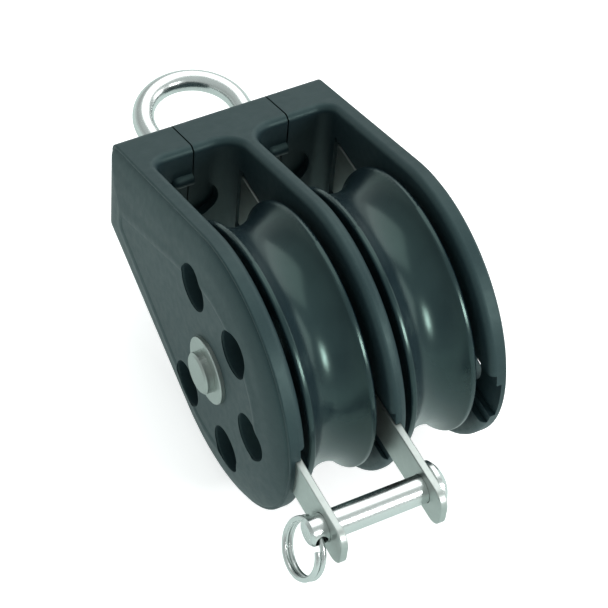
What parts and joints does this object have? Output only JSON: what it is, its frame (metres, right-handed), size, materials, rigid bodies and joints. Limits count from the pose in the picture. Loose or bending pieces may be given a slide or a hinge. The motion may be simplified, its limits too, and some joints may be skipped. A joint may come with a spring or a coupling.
{
  "type": "double sheave block",
  "caption": "Boat rigging block: rope sheaves side by side between ventilated cheeks, a fixed head eye, and a becket pin kept by a split ring.",
  "frame": {"origin": "centre of the head eye's round crown, on the centre line of its rod", "axes": "+X along the axle towards the cheek with no becket strap, +Y from the axle up to the head eye, +Z out of the open front; the block lies on its back"},
  "size_m": [0.0501, 0.1074, 0.052],
  "materials": {
    "body_moulding": "matte glass-filled nylon with a fine grain, dark greenish grey",
    "sheave_moulding": "smooth low-gloss acetal, dark grey",
    "bearing_plastic": "natural white acetal",
    "polished_steel": "polished stainless steel",
    "satin_steel": "satin turned stainless steel",
    "strap_steel": "tumbled stainless sheet"
  },
  "bodies": {
    "block_body": {"left_cheek": "body_moulding", "centre_body": "body_moulding", "right_cheek": "body_moulding", "left_inner_thrust_washer": "bearing_plastic", "left_outer_thrust_washer": "bearing_plastic", "right_inner_thrust_washer": "bearing_plastic", "right_outer_thrust_washer": "bearing_plastic", "head_eye": "polished_steel", "axle": "satin_steel", "left_cheek_washer": "satin_steel", "right_cheek_washer": "satin_steel", "left_axle_sleeve": "satin_steel", "right_axle_sleeve": "satin_steel", "left_leg_collar": "satin_steel", "right_leg_collar": "satin_steel", "left_seam_dowels": "satin_steel", "right_seam_dowels": "satin_steel", "head_plate": "strap_steel", "left_strap": "strap_steel", "centre_strap": "strap_steel", "right_strap": "strap_steel"},
    "left_sheave": {"left_sheave": "sheave_moulding", "left_hub_bush": "bearing_plastic"},
    "right_sheave": {"right_sheave": "sheave_moulding", "right_hub_bush": "bearing_plastic"},
    "becket_pin": {"becket_pin": "polished_steel"},
    "split_ring": {"split_ring": "polished_steel"}
  },
  "joints": [
    {"name": "left_sheave_spin", "type": "hinge", "parent": "block_body", "child": "left_sheave", "pos_m": [-0.0095, -0.0538, 0], "axis": [1, 0, 0], "continuous": true},
    {"name": "right_sheave_spin", "type": "hinge", "parent": "block_body", "child": "right_sheave", "pos_m": [0.0095, -0.0538, 0], "axis": [1, 0, 0], "continuous": true},
    {"name": "becket_pin_turn", "type": "hinge", "parent": "block_body", "child": "becket_pin", "pos_m": [-0.01, -0.09, 0], "axis": [1, 0, 0], "continuous": true},
    {"name": "split_ring_swing", "type": "hinge", "parent": "becket_pin", "child": "split_ring", "pos_m": [-0.0209, -0.09, 0], "axis": [0, 1, 0], "range_deg": [-15, 155]}
  ]
}
